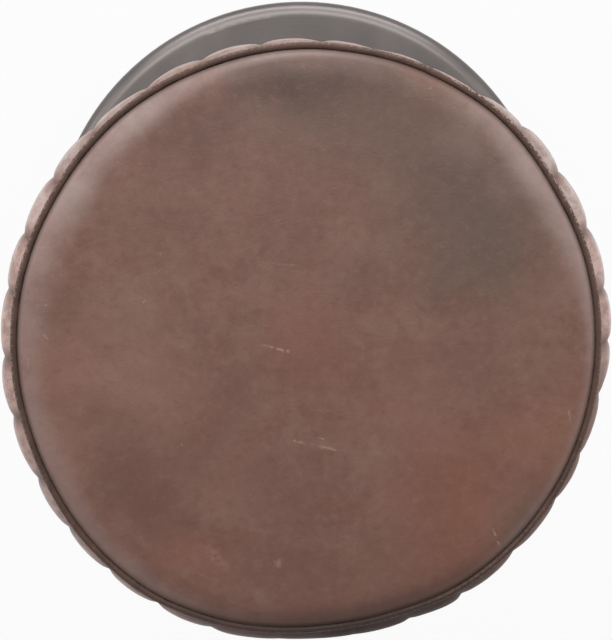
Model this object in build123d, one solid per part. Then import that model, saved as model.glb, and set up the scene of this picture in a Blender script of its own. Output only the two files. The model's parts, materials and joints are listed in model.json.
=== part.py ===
from build123d import *
import math
import os

# Bar stool with a padded, channelled leather drum seat that swivels on a
# round steel pedestal. Millimetres, +Z up, origin on the floor under the column.

# Overall sizes
overall_height = 762.0
base_radius = 215.0
seat_seam_radius = 190.5

# Clearances between pieces
fit_gap = 0.05
running_gap = 0.05
press_gap = 0.02
slide_gap = 0.1
soft_gap = 0.3
bolt_play = 0.5

# How far a cutting shape runs past what it cuts
overrun = 5.0

# Base: rubber floor ring, cast ballast, spun shell
floor_ring_step = 2.0
floor_ring_height = 4.0
floor_ring_ledge = 10.0
floor_ring_reveal = 0.5
floor_ring_chamfer = 0.6
ballast_thickness = 11.0
ballast_edge_inset = 5.0
ballast_edge_chamfer = 2.0
boss_margin = 12.0
boss_height = 4.5
shell_wall = 1.5
shell_rim_radius = 12.0
shell_clearance = 0.5
land_margin = 4.0

# Column and its foot plate
column_radius = 25.4
column_wall = 2.5
foot_plate_margin = 17.0
foot_plate_thickness = 6.0
foot_bolt_circle = 43.0
foot_bolt_count = 4
foot_bolt_turn = 45
foot_bolt_radius = 5.0
foot_bolt_head_flats = 16.0
foot_bolt_head_height = 6.4
foot_bolt_end_gap = 0.5
foot_washer_radius = 10.0
foot_washer_thickness = 1.6
foot_washer_play = 1.0
foot_bolt_recess = 1.0

# Collar that dresses the foot of the column
trim_collar_reach = 20.0
trim_collar_height = 17.0
trim_collar_edge = 1.6

# Footrest
footrest_height = 300.0
footrest_radius = 160.0
footrest_bar_radius = 11.0
spoke_radius = 8.0
spoke_count = 4
hub_wall = 6.5
hub_height = 38.0
hub_chamfer = 1.5
grub_screw_radius = 3.0
grub_screw_count = 2
grub_screw_turn = 45
grub_socket_flats = 3.0
grub_socket_depth = 2.5

# Swivel: housing, bushes, roller thrust bearing, spindle
spindle_radius = 10.0
spindle_tail = 6.0
spindle_chamfer = 1.0
housing_head_radius = 29.0
housing_head_floor = 8.0
housing_rim_gap = 2.0
housing_chamfer = 1.5
housing_spigot_length = 50.0
bush_wall = 3.0
bush_length = 20.0
race_width = 7.5
race_thickness = 2.75
lower_race_relief = 0.5
upper_race_relief = 0.3
roller_radius = 2.25
roller_count = 10
roller_play = 0.02
roller_end_margin = 1.25
cage_thickness = 3.0
cage_edge = 0.6
cage_pocket_gap = 0.1
retainer_width = 5.0
retainer_thickness = 1.6
retainer_play = 0.3
circlip_thickness = 1.2
circlip_bite = 0.8
circlip_reach = 2.0
circlip_opening = 9.0

# Seat plate, its bolts and the wooden seat board
plate_bolt_spacing = 110.0
plate_margin = 18.0
plate_corner_radius = 14.0
plate_thickness = 5.0
plate_bolt_radius = 3.0
plate_bolt_head_radius = 5.5
plate_bolt_head_height = 3.3
plate_bolt_socket_flats = 4.0
plate_bolt_socket_depth = 1.8
plate_washer_radius = 6.5
plate_washer_thickness = 1.2
board_thickness = 15.0
tee_nut_flange_radius = 10.0
tee_nut_flange_thickness = 1.5
tee_nut_barrel_wall = 1.6
tee_nut_barrel_length = 9.0

# Upholstery
foam_inset = 2.5
crown_height = 17.0
crown_shoulder_radius_share = 0.90
crown_shoulder_height_share = 0.62
hide_thickness = 1.6
piping_radius = 2.4
piping_cord_radius = 1.4
band_height = 97.0
band_bulge = 7.9
channel_count = 31
channel_depth = 3.7
hem_width = 14.0
dust_cover_thickness = 0.8
dust_cover_lap = 5.0

# The band from the hem up to the seam: how high each section lies, how far
# its stitched valleys bulge, and how deep the channels between them are.
band_level_shares = (0.0, 0.04, 0.14, 0.45, 0.80, 0.94, 1.0)
valley_bulge_shares = (-0.20, 0.30, 0.74, 1.0, 0.95, 0.62, 0.10)
channel_depth_shares = (0.10, 0.50, 0.86, 1.0, 0.94, 0.56, 0.05)

# Heights of the base, worked out from the floor up
ballast_bottom = floor_ring_height
ballast_top = ballast_bottom + ballast_thickness
foot_bolt_seat = ballast_bottom + foot_bolt_recess + foot_bolt_head_height + foot_washer_thickness
foot_plate_bottom = ballast_top + boss_height
foot_plate_top = foot_plate_bottom + foot_plate_thickness
land_height = foot_plate_top + shell_wall
rim_height = ballast_top + shell_clearance + shell_wall

# Heights of the footrest's hub
hub_bottom = footrest_height - hub_height / 2
hub_top = footrest_height + hub_height / 2

# Heights of the seat and swivel, worked out from the top down
seam_height = overall_height - crown_height
board_bottom = seam_height - band_height
board_top = board_bottom + board_thickness
flange_bottom = board_top - tee_nut_flange_thickness
hem_bottom = board_bottom - hide_thickness
plate_top = board_bottom - dust_cover_thickness
plate_bottom = plate_top - plate_thickness
roller_height = plate_bottom - race_thickness - roller_play - roller_radius
bearing_floor = roller_height - roller_radius - roller_play - race_thickness
column_top = bearing_floor - housing_head_floor
housing_bottom = column_top - housing_spigot_length
circlip_top = housing_bottom - retainer_play - retainer_thickness
circlip_bottom = circlip_top - circlip_thickness
spindle_bottom = circlip_bottom - spindle_tail

# Radii that follow from the pieces they fit
ballast_radius = base_radius - shell_rim_radius - ballast_edge_inset
column_bore = column_radius - column_wall
column_sleeve = column_radius + slide_gap
foot_plate_radius = foot_bolt_circle + foot_plate_margin
foot_bolt_hole = foot_bolt_radius + bolt_play
hub_radius = column_sleeve + hub_wall
bush_bore = spindle_radius + running_gap
bush_radius = bush_bore + bush_wall
bush_seat = bush_radius + press_gap
race_radius = spindle_radius + race_width
roller_pitch_radius = spindle_radius + race_width / 2
circlip_groove = spindle_radius - circlip_bite
plate_bolt_hole = plate_bolt_radius + bolt_play
tee_nut_barrel_radius = plate_bolt_radius + tee_nut_barrel_wall
foam_radius = seat_seam_radius - foam_inset
piping_ring_radius = seat_seam_radius + press_gap + piping_radius
hem_radius = foam_radius - hem_width


def turned(*lines):
    """A solid turned about Z from its outline, drawn as (radius, height)."""
    return revolve(Plane.XZ * make_face(lines), Axis.Z)


def turned_polygon(*corners):
    return turned(Polyline(*corners, close=True))


def ring(inner, outer, bottom, top):
    return turned_polygon((inner, bottom), (outer, bottom), (outer, top), (inner, top))


def disc(radius, bottom, top):
    return Pos(0, 0, bottom) * extrude(Circle(radius), top - bottom)


def hexagon(flats, bottom, top):
    outline = RegularPolygon(flats / 2, 6, major_radius=False)
    return Pos(0, 0, bottom) * extrude(outline, top - bottom)


def repeated(places, solid):
    """The same solid at each place, as separate solids in one group."""
    return Compound([(place * solid).solid() for place in places])


def cut_at(places, body, tool):
    for place in places:
        body -= place * tool
    return body


# Base

def floor_ring():
    """Moulded rubber ring: flat foot, step for the shell's edge, ledge for the ballast."""
    inner = ballast_radius - floor_ring_ledge
    foot = base_radius - floor_ring_reveal
    lip = base_radius - shell_wall
    return turned_polygon(
        (inner, 0),
        (foot - floor_ring_chamfer, 0),
        (foot, floor_ring_chamfer),
        (foot, floor_ring_step),
        (lip, floor_ring_step),
        (lip, floor_ring_height),
        (inner, floor_ring_height),
    )


def foot_bolt_places():
    return PolarLocations(foot_bolt_circle, foot_bolt_count, foot_bolt_turn)


def base_ballast():
    """Cast disc with a raised boss for the foot plate and counterbored bolt holes."""
    boss_radius = foot_plate_radius + boss_margin
    body = turned_polygon(
        (0, ballast_bottom),
        (ballast_radius, ballast_bottom),
        (ballast_radius, ballast_top - ballast_edge_chamfer),
        (ballast_radius - ballast_edge_chamfer, ballast_top),
        (boss_radius + boss_height, ballast_top),
        (boss_radius, foot_plate_bottom),
        (0, foot_plate_bottom),
    )
    hole = disc(foot_bolt_hole, ballast_bottom - overrun, foot_plate_bottom + overrun)
    counterbore = disc(foot_washer_radius + foot_washer_play, ballast_bottom - overrun, foot_bolt_seat)
    return cut_at(foot_bolt_places(), body, hole + counterbore)


def foot_washers():
    washer = ring(foot_bolt_hole, foot_washer_radius, foot_bolt_seat - foot_washer_thickness, foot_bolt_seat)
    return repeated(foot_bolt_places(), washer)


def foot_bolts():
    """Hex bolts, put in from below through the ballast into the foot plate."""
    head_top = foot_bolt_seat - foot_washer_thickness
    head = hexagon(foot_bolt_head_flats, head_top - foot_bolt_head_height, head_top)
    shank = disc(foot_bolt_radius, head_top, foot_plate_top - foot_bolt_end_gap)
    return repeated(foot_bolt_places(), head + shank)


def column_foot_plate():
    """Round plate welded to the column, with tapped holes for the foot bolts."""
    plate = ring(column_radius + fit_gap, foot_plate_radius, foot_plate_bottom, foot_plate_top)
    tapped = disc(foot_bolt_radius + fit_gap, foot_plate_bottom - overrun, foot_plate_top + overrun)
    return cut_at(foot_bolt_places(), plate, tapped)


def shell_form(inset):
    """The cover's outside drawn in by inset: upright edge, round rim, shallow cone, flat land."""
    edge = base_radius - inset
    shoulder = base_radius - shell_rim_radius
    land = foot_plate_radius + land_margin
    rim = RadiusArc(
        (edge, rim_height - shell_rim_radius), (shoulder, rim_height - inset), inset - shell_rim_radius
    )
    rest = Polyline(
        (shoulder, rim_height - inset),
        (land, land_height - inset),
        (0, land_height - inset),
        (0, floor_ring_step),
        (edge, floor_ring_step),
        (edge, rim_height - shell_rim_radius),
    )
    return turned(rim, rest)


def base_shell():
    """Spun steel cover of even thickness, with a hole for the column."""
    return shell_form(0) - shell_form(shell_wall) - disc(column_sleeve, 0, overall_height)


def trim_collar():
    """Flared collar that hides the shell's hole around the column."""
    neck = column_sleeve + trim_collar_edge
    foot = neck + trim_collar_reach
    foot_top = land_height + trim_collar_edge
    head = land_height + trim_collar_height
    flare = JernArc((neck, head), (0, -1), trim_collar_height - trim_collar_edge, 90)
    rest = Polyline(
        flare @ 1,
        (foot, foot_top),
        (foot, land_height),
        (column_sleeve, land_height),
        (column_sleeve, head),
        (neck, head),
    )
    return turned(flare, rest)


# Column and footrest

def column_tube():
    return ring(column_bore, column_radius, foot_plate_bottom, column_top)


def footrest_torus(radius):
    return Pos(0, 0, footrest_height) * Torus(footrest_radius, radius)


def footrest_ring():
    """Round bar bent into a ring and welded to the spokes."""
    return footrest_torus(footrest_bar_radius)


def radial_bar(radius, start, end):
    """A round bar along +X at the footrest's height."""
    return Pos(start, 0, footrest_height) * Rot(0, 90, 0) * extrude(Circle(radius), end - start)


def footrest_spokes():
    """Bars coped to fit the hub and the ring."""
    spoke = radial_bar(spoke_radius, 0, footrest_radius)
    spoke -= disc(hub_radius, hub_bottom, hub_top)
    spoke -= footrest_torus(footrest_bar_radius + press_gap)
    return repeated(PolarLocations(0, spoke_count), spoke)


def grub_screw_places():
    return PolarLocations(0, grub_screw_count, grub_screw_turn)


def footrest_hub():
    """Sleeve that slides over the column, with tapped holes for its grub screws."""
    sleeve = turned_polygon(
        (column_sleeve, hub_bottom),
        (hub_radius - hub_chamfer, hub_bottom),
        (hub_radius, hub_bottom + hub_chamfer),
        (hub_radius, hub_top - hub_chamfer),
        (hub_radius - hub_chamfer, hub_top),
        (column_sleeve, hub_top),
    )
    tapped = radial_bar(grub_screw_radius + fit_gap, 0, hub_radius + overrun)
    return cut_at(grub_screw_places(), sleeve, tapped)


def grub_screws():
    """Socket set screws that bear on the column, ends just inside the hub."""
    end = hub_radius - hub_chamfer
    socket = Rot(0, 90, 0) * hexagon(grub_socket_flats, -grub_socket_depth, overrun)
    screw = radial_bar(grub_screw_radius, column_radius, end) - Pos(end, 0, footrest_height) * socket
    return repeated(grub_screw_places(), screw)


# Swivel

def bearing_housing():
    """Turned plug in the top of the column: bushes inside, bearing cup on top."""
    cup = race_radius + slide_gap
    cup_top = plate_bottom - housing_rim_gap
    spigot = column_bore - press_gap
    return turned_polygon(
        (bush_seat, housing_bottom),
        (spigot - housing_chamfer, housing_bottom),
        (spigot, housing_bottom + housing_chamfer),
        (spigot, column_top),
        (housing_head_radius, column_top),
        (housing_head_radius, cup_top - housing_chamfer),
        (housing_head_radius - housing_chamfer, cup_top),
        (cup, cup_top),
        (cup, bearing_floor),
        (bush_seat, bearing_floor),
    )


def upper_bush():
    return ring(bush_bore, bush_radius, bearing_floor - bush_length, bearing_floor)


def lower_bush():
    return ring(bush_bore, bush_radius, housing_bottom, housing_bottom + bush_length)


def lower_race():
    """Race that lies in the housing's cup, clear of the spindle."""
    return ring(spindle_radius + lower_race_relief, race_radius, bearing_floor, bearing_floor + race_thickness)


def upper_race():
    """Race that turns with the seat plate, clear of the housing's cup."""
    return ring(
        spindle_radius + fit_gap, race_radius - upper_race_relief, plate_bottom - race_thickness, plate_bottom
    )


def roller_places():
    return [Pos(0, 0, roller_height) * place for place in PolarLocations(roller_pitch_radius, roller_count)]


def thrust_rollers():
    """Cylindrical rollers lying like spokes between the two races."""
    roller = Rot(0, 90, 0) * Cylinder(roller_radius, race_width - 2 * roller_end_margin)
    return repeated(roller_places(), roller)


def roller_cage():
    """Flat ring with one pocket for each roller."""
    bottom = roller_height - cage_thickness / 2
    cage = ring(spindle_radius + cage_edge, race_radius - cage_edge, bottom, bottom + cage_thickness)
    long = race_width - 2 * roller_end_margin + 2 * cage_pocket_gap
    wide = 2 * roller_radius + 2 * cage_pocket_gap
    return cut_at(roller_places(), cage, Box(long, wide, cage_thickness + overrun))


def spindle():
    """Shaft welded in the seat plate, grooved near its foot for the circlip."""
    return turned_polygon(
        (0, spindle_bottom),
        (spindle_radius - spindle_chamfer, spindle_bottom),
        (spindle_radius, spindle_bottom + spindle_chamfer),
        (spindle_radius, circlip_bottom),
        (circlip_groove, circlip_bottom),
        (circlip_groove, circlip_top),
        (spindle_radius, circlip_top),
        (spindle_radius, plate_top),
        (0, plate_top),
    )


def retaining_washer():
    """Washer that stops the seat from being lifted off."""
    bore = spindle_radius + fit_gap
    return ring(bore, bore + retainer_width, circlip_top, circlip_top + retainer_thickness)


def circlip():
    """Open spring ring in the spindle's groove."""
    outer = spindle_radius + circlip_reach
    opening = Pos(outer, 0, circlip_bottom) * Box(2 * outer, circlip_opening, 2 * circlip_thickness + overrun)
    return ring(circlip_groove + press_gap, outer, circlip_bottom, circlip_top) - opening


# Seat plate and board

def plate_bolt_places():
    return GridLocations(plate_bolt_spacing, plate_bolt_spacing, 2, 2)


def seat_plate():
    """Square steel plate with rounded corners, bored for the spindle and bolts."""
    side = plate_bolt_spacing + 2 * plate_margin
    plate = Pos(0, 0, plate_bottom) * extrude(RectangleRounded(side, side, plate_corner_radius), plate_thickness)
    plate -= disc(spindle_radius + fit_gap, plate_bottom - overrun, plate_top + overrun)
    hole = disc(plate_bolt_hole, plate_bottom - overrun, plate_top + overrun)
    return cut_at(plate_bolt_places(), plate, hole)


def plate_washers():
    washer = ring(plate_bolt_hole, plate_washer_radius, plate_bottom - plate_washer_thickness, plate_bottom)
    return repeated(plate_bolt_places(), washer)


def plate_bolts():
    """Button-head bolts up through the plate into the tee nuts."""
    head_top = plate_bottom - plate_washer_thickness
    head_bottom = head_top - plate_bolt_head_height
    bevel = plate_bolt_head_height / 2
    bolt = turned_polygon(
        (0, head_bottom),
        (plate_bolt_head_radius - bevel, head_bottom),
        (plate_bolt_head_radius, head_bottom + bevel),
        (plate_bolt_head_radius, head_top),
        (plate_bolt_radius, head_top),
        (plate_bolt_radius, flange_bottom),
        (0, flange_bottom),
    )
    bolt -= hexagon(plate_bolt_socket_flats, head_bottom - overrun, head_bottom + plate_bolt_socket_depth)
    return repeated(plate_bolt_places(), bolt)


def tee_nuts():
    """Flanged nuts let into the top of the board."""
    bore = plate_bolt_radius + fit_gap
    barrel_bottom = flange_bottom - tee_nut_barrel_length
    nut = turned_polygon(
        (bore, barrel_bottom),
        (tee_nut_barrel_radius, barrel_bottom),
        (tee_nut_barrel_radius, flange_bottom),
        (tee_nut_flange_radius, flange_bottom),
        (tee_nut_flange_radius, board_top),
        (bore, board_top),
    )
    return repeated(plate_bolt_places(), nut)


def seat_board():
    """Plywood disc, drilled and counterbored for the tee nuts."""
    board = disc(foam_radius, board_bottom, board_top)
    flange_seat = disc(tee_nut_flange_radius + slide_gap, flange_bottom, board_top + overrun)
    barrel_hole = disc(tee_nut_barrel_radius + slide_gap, board_bottom - overrun, board_top + overrun)
    return cut_at(plate_bolt_places(), board, flange_seat + barrel_hole)


def dust_cover():
    """Cloth disc under the board; its edge steps down and laps over the leather hem."""
    step = hem_radius - soft_gap
    cloth = turned_polygon(
        (0, plate_top),
        (step - dust_cover_thickness, plate_top),
        (step - dust_cover_thickness, hem_bottom - dust_cover_thickness),
        (hem_radius + dust_cover_lap, hem_bottom - dust_cover_thickness),
        (hem_radius + dust_cover_lap, hem_bottom),
        (step, hem_bottom),
        (step, board_bottom),
        (0, board_bottom),
    )
    hole = disc(plate_bolt_hole, plate_top - overrun, board_bottom + overrun)
    return cut_at(plate_bolt_places(), cloth, hole)


# Upholstery

def foam_core():
    return disc(foam_radius, board_top, seam_height)


def crown_form(inset):
    """The crown above the seam drawn in by inset: a wide arc, then a tight plump shoulder."""
    shoulder_radius = seat_seam_radius * crown_shoulder_radius_share - inset
    shoulder_height = seam_height + crown_height * crown_shoulder_height_share - inset
    crown = TangentArc((0, overall_height - inset), (shoulder_radius, shoulder_height), tangent=(1, 0))
    shoulder = TangentArc(crown @ 1, (seat_seam_radius - inset, seam_height), tangent=crown % 1)
    rest = Polyline(shoulder @ 1, (0, seam_height), crown @ 0)
    return turned(crown, shoulder, rest)


def crown_wadding():
    """Soft filling that gives the seat its crown."""
    return crown_form(hide_thickness)


def seat_top():
    """Leather top panel, stretched over the wadding."""
    return crown_form(0) - crown_form(hide_thickness)


def seam_torus(radius):
    return Pos(0, 0, seam_height) * Torus(piping_ring_radius, radius)


def piping_cord():
    return seam_torus(piping_cord_radius)


def piping():
    """Leather welt wrapped round the cord, sewn between top panel and band."""
    return seam_torus(piping_radius) - seam_torus(piping_cord_radius)


def channel_section(height, valley, crest):
    """One level of the band: an arc for each channel, meeting at the stitched valleys."""
    pitch = 2 * math.pi / channel_count
    arcs = []
    for index in range(channel_count):
        angles = (index * pitch, (index + 0.5) * pitch, (index + 1) * pitch)
        start, middle, end = [
            (radius * math.cos(angle), radius * math.sin(angle), height)
            for radius, angle in zip((valley, crest, valley), angles)
        ]
        arcs.append(ThreePointArc(start, middle, end))
    return Face(Wire(arcs))


def side_band():
    """Padded leather band sewn into upright channels, drawn in at hem and seam."""
    sections = []
    for level, bulge, depth in zip(band_level_shares, valley_bulge_shares, channel_depth_shares):
        height = hem_bottom + (seam_height - hem_bottom) * level
        valley = piping_ring_radius + band_bulge * bulge
        sections.append(channel_section(height, valley, valley + channel_depth * depth))
    band = loft(sections)
    band -= disc(foam_radius + soft_gap, board_bottom, seam_height + overrun)
    band -= disc(hem_radius, hem_bottom - overrun, seam_height)
    return band - seam_torus(piping_radius + slide_gap)


pieces = {
    "floor_ring": floor_ring,
    "base_ballast": base_ballast,
    "foot_washers": foot_washers,
    "foot_bolts": foot_bolts,
    "column_foot_plate": column_foot_plate,
    "base_shell": base_shell,
    "trim_collar": trim_collar,
    "column_tube": column_tube,
    "footrest_ring": footrest_ring,
    "footrest_spokes": footrest_spokes,
    "footrest_hub": footrest_hub,
    "grub_screws": grub_screws,
    "bearing_housing": bearing_housing,
    "upper_bush": upper_bush,
    "lower_bush": lower_bush,
    "lower_race": lower_race,
    "thrust_rollers": thrust_rollers,
    "roller_cage": roller_cage,
    "upper_race": upper_race,
    "spindle": spindle,
    "retaining_washer": retaining_washer,
    "circlip": circlip,
    "seat_plate": seat_plate,
    "plate_washers": plate_washers,
    "plate_bolts": plate_bolts,
    "tee_nuts": tee_nuts,
    "seat_board": seat_board,
    "dust_cover": dust_cover,
    "foam_core": foam_core,
    "crown_wadding": crown_wadding,
    "seat_top": seat_top,
    "piping_cord": piping_cord,
    "piping": piping,
    "side_band": side_band,
}

os.makedirs("parts", exist_ok=True)
for name, make in pieces.items():
    export_step(make(), f"parts/{name}.step")
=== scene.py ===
import json
import math

import bpy
import numpy as np
from mathutils import Matrix, Vector, noise


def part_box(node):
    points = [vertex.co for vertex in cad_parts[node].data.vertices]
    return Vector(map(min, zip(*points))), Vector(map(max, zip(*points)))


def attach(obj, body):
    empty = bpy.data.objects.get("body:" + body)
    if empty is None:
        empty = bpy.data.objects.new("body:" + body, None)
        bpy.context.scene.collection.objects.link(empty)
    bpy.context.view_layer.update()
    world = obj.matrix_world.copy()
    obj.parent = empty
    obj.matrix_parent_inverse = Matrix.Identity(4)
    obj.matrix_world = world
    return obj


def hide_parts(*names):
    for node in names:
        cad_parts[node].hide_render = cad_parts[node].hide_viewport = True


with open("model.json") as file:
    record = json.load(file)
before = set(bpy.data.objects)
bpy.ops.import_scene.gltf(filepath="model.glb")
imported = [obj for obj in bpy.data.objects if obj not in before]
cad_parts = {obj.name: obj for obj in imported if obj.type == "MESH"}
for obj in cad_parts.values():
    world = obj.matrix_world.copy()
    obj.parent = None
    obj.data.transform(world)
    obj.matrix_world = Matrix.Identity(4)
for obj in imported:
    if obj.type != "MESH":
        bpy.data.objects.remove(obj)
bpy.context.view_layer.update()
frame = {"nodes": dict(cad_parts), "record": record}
nodes = frame["nodes"]


def add_object(name, data):
    made = bpy.data.objects.new(name, data)
    bpy.context.scene.collection.objects.link(made)
    return made


# Camera: almost straight above the seat, leaning back far enough to show the base behind it

lens_mm = 209.5
sensor_mm = 36.0
clip_near = 0.1
clip_far = 100.0
eye = Vector((-0.0140, 0.2491, 3.2026))
aim = Vector((-0.0003, 0.0126, 0.745))

camera = add_object("camera", bpy.data.cameras.new("camera"))
bpy.context.scene.camera = camera
camera.data.lens = lens_mm
camera.data.sensor_width = sensor_mm
camera.data.clip_start = clip_near
camera.data.clip_end = clip_far
sight = (aim - eye).normalized()
right = sight.cross(Vector((0, 1, 0))).normalized()
upward = right.cross(sight)
facing = Matrix((right, upward, -sight)).transposed().to_4x4()
camera.matrix_world = Matrix.Translation(eye) @ facing

# Sizes that the soft pieces take from the frame

cover_lap = 0.005

panel_low, panel_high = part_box("seat_top")
welt_low, welt_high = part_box("piping")
band_low, band_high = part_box("side_band")
board_low, board_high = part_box("seat_board")
seam_radius = panel_high.x
seam_height = panel_low.z
crown_height = panel_high.z - panel_low.z
welt_radius = (welt_high.z - welt_low.z) / 2
welt_ring = welt_high.x - welt_radius
crest_radius = band_high.x
hem_height = band_low.z
board_radius = board_high.x
board_bottom = board_low.z
cover_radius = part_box("dust_cover")[1].x
hem_radius = cover_radius - cover_lap
plate_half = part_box("seat_plate")[1].x


# Mesh making

def turn(points, angle):
    """Points given as (radius, height), set round the column at an angle."""
    points = np.asarray(points, float)
    radius, height = points[..., 0], points[..., 1]
    return np.stack([radius * np.cos(angle), radius * np.sin(angle), height], axis=-1)


def level_ring(radius, height, angles):
    """A flat ring round the column."""
    return turn(np.full((len(angles), 2), (radius, height)), angles)


def mesh_object(name, points, faces):
    mesh = bpy.data.meshes.new(name)
    corners = [tuple(map(float, point)) for point in points]
    mesh.from_pydata(corners, [], [tuple(map(int, face)) for face in faces])
    mesh.polygons.foreach_set("use_smooth", [True] * len(mesh.polygons))
    return add_object(name, mesh)


def skin(name, rows, low_pole=None, high_pole=None, wrap=False):
    """A mesh over rows of points that run once round; poles close its ends or wrap joins them."""
    rows = np.asarray(rows, float)
    count, around = rows.shape[:2]
    points = [tuple(point) for point in rows.reshape(-1, 3)]
    index = np.arange(count * around).reshape(count, around)
    faces = []
    for a in range(count if wrap else count - 1):
        this, following = index[a], index[(a + 1) % count]
        for b in range(around):
            c = (b + 1) % around
            faces.append((this[b], this[c], following[c], following[b]))
    for pole, ring, flip in ((low_pole, index[0], True), (high_pole, index[-1], False)):
        if pole is not None:
            points.append(tuple(pole))
            for b in range(around):
                c = (b + 1) % around
                pair = (ring[c], ring[b]) if flip else (ring[b], ring[c])
                faces.append((*pair, len(points) - 1))
    return mesh_object(name, points, faces)


def tube(name, paths, radius, sides):
    """Closed round bars along looped paths; radius is a function of the share of the way round."""
    points, faces = [], []
    for path in paths:
        path = np.asarray(path, float)
        count = len(path)
        along = np.roll(path, -1, axis=0) - np.roll(path, 1, axis=0)
        along /= np.linalg.norm(along, axis=1)[:, None]
        outward = path - path.mean(axis=0)
        outward -= (outward * along).sum(axis=1)[:, None] * along
        outward /= np.linalg.norm(outward, axis=1)[:, None]
        across = np.cross(along, outward)
        start = len(points)
        for a in range(count):
            r = radius(a / count)
            for b in range(sides):
                angle = 2 * math.pi * b / sides
                offset = math.cos(angle) * outward[a] + math.sin(angle) * across[a]
                points.append(path[a] + r * offset)
        for a in range(count):
            this, following = start + a * sides, start + (a + 1) % count * sides
            for b in range(sides):
                c = (b + 1) % sides
                faces.append((this + b, following + b, following + c, this + c))
    return mesh_object(name, points, faces)


def coordinates(obj):
    points = np.zeros(len(obj.data.vertices) * 3)
    obj.data.vertices.foreach_get("co", points)
    return points.reshape(-1, 3)


def set_coordinates(obj, points):
    obj.data.vertices.foreach_set("co", np.asarray(points, float).ravel())
    obj.data.update()


def around_column(points):
    """Each point's distance from the column's axis and its angle round it."""
    return np.hypot(points[:, 0], points[:, 1]), np.arctan2(points[:, 1], points[:, 0])


def ripple(points, scale, seed):
    """Smooth noise from -1 to 1 at each point, with features about 1/scale wide."""
    shift = Vector((seed, 2 * seed, -seed))
    return np.array([noise.noise(Vector(point) * scale + shift) for point in points])


def smooth(value, low, high):
    """0 below low, 1 above high, and an even curve between them."""
    t = np.clip((value - low) / (high - low), 0, 1)
    return t * t * (3 - 2 * t)


cloth_pressure = 4.0
cloth_stiffness = 20
cloth_bending = 0.8
cloth_steps = 20


def inflate(obj, held, rise):
    """Fills a closed cover as stuffing does, with the held points fast, and keeps the result.

    The point that moves most moves by no more than rise, and the others in proportion.
    """
    before = coordinates(obj)
    obj.vertex_groups.new(name="held").add([int(i) for i in held], 1.0, "REPLACE")
    cloth = obj.modifiers.new("Cloth", "CLOTH")
    cloth.settings.vertex_group_mass = "held"
    cloth.settings.use_pressure = True
    cloth.settings.uniform_pressure_force = cloth_pressure
    cloth.settings.effector_weights.gravity = 0
    cloth.settings.tension_stiffness = cloth_stiffness
    cloth.settings.compression_stiffness = cloth_stiffness
    cloth.settings.bending_stiffness = cloth_bending
    cloth.collision_settings.use_collision = False
    scene = bpy.context.scene
    for step in range(1, cloth_steps + 1):
        scene.frame_set(step)
    evaluated = obj.evaluated_get(bpy.context.evaluated_depsgraph_get())
    after = np.zeros(len(before) * 3)
    evaluated.data.vertices.foreach_get("co", after)
    obj.modifiers.remove(cloth)
    obj.vertex_groups.clear()
    scene.frame_set(1)
    moved = after.reshape(-1, 3) - before
    reach = np.linalg.norm(moved, axis=1).max()
    set_coordinates(obj, before + moved * min(1.0, rise / reach))
    print(obj.name, "rose", round(reach * 1000, 2), "mm before the cap of", rise * 1000)


def subdivide(obj):
    subdivision = obj.modifiers.new("Subdivision", "SUBSURF")
    subdivision.levels = 1
    subdivision.render_levels = 1


def shade(obj, name, values):
    """A share from 0 to 1 at each point, which the material reads by its name."""
    values = np.clip(values, 0, 1)
    obj.data.attributes.new(name, "FLOAT", "POINT").data.foreach_set("value", values)


# Tables given round the seat. Each row starts with an angle in degrees, from +X towards +Y.

soften_degrees = 3


def read_table(degrees, rows, column=1):
    table = np.array(rows, float)
    return np.interp(degrees % 360, table[:, 0], table[:, column])


def round_table(angles, rows, column=1):
    """A table's values at any angle in radians, with its corners softened."""
    around = np.degrees(np.asarray(angles)) % 360
    shifts = (-soften_degrees, 0, soften_degrees)
    return sum(read_table(around + shift, rows, column) for shift in shifts) / len(shifts)


# The seam isn't a true circle: it is pulled out most at the lower left, where the stuffing is
# fullest. Degrees, millimetres.
seam_pull_rows = (
    (0, 0.6), (20, 0.8), (30, -0.2), (40, 1.5), (50, 3.1), (60, 2.2), (70, 2.3), (80, 1.3),
    (90, 1.3), (110, -0.1), (130, 0.3), (150, -1.0), (170, 0.8), (190, 1.7), (200, 2.2),
    (210, 3.4), (220, 5.7), (232, 7.1), (239, 7.9), (247, 6.5), (257, 5.2), (265, 3.2),
    (275, 0.9), (290, 0.9), (300, 2.7), (320, 2.3), (340, 1.3), (360, 0.6),
)

# Painted sheen where the panel's edge turns down, most at the back and sides. Degrees, share, width
# in mm.
sheen_rows = (
    (0, 0.22, 8), (20, 0.38, 20), (40, 0.48, 26), (55, 0.2, 14), (65, 0.0, 5), (74, 0.12, 5),
    (84, 0.46, 6), (97, 0.50, 7), (108, 0.32, 10), (125, 0.52, 24), (150, 0.45, 30),
    (170, 0.28, 28), (190, 0.24, 22), (215, 0.26, 22), (235, 0.24, 16), (255, 0.12, 8),
    (302, 0.1, 6), (320, 0.28, 9), (335, 0.18, 8), (360, 0.22, 8),
)

# Painted shade along the front edge, on the panel, the piping and the band. Degrees, share, width
# in mm.
front_shade_rows = (
    (0, 0, 6), (225, 0, 8), (245, 0.04, 11), (262, 0.32, 15), (280, 0.45, 17), (300, 0.35, 14),
    (320, 0.05, 10), (345, 0, 6), (360, 0, 6),
)

# The painted shade of the panel's lip by the piping at the front, the painted highlight line on the
# piping and its pale specks.
lip_shade_rows = (
    (0, 0), (225, 0), (245, 0.3), (262, 0.8), (290, 0.85), (305, 0.5), (330, 0), (360, 0),
)
highlight_line_rows = ((0, 0), (288, 0), (298, 0.35), (312, 0.45), (330, 0.1), (360, 0))
speck_rows = (
    (0, 0.3), (15, 0.5), (28, 0.9), (55, 0.8), (68, 0.3), (130, 0.3), (165, 0.6), (200, 0.4),
    (225, 0.2), (360, 0.3),
)
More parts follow.
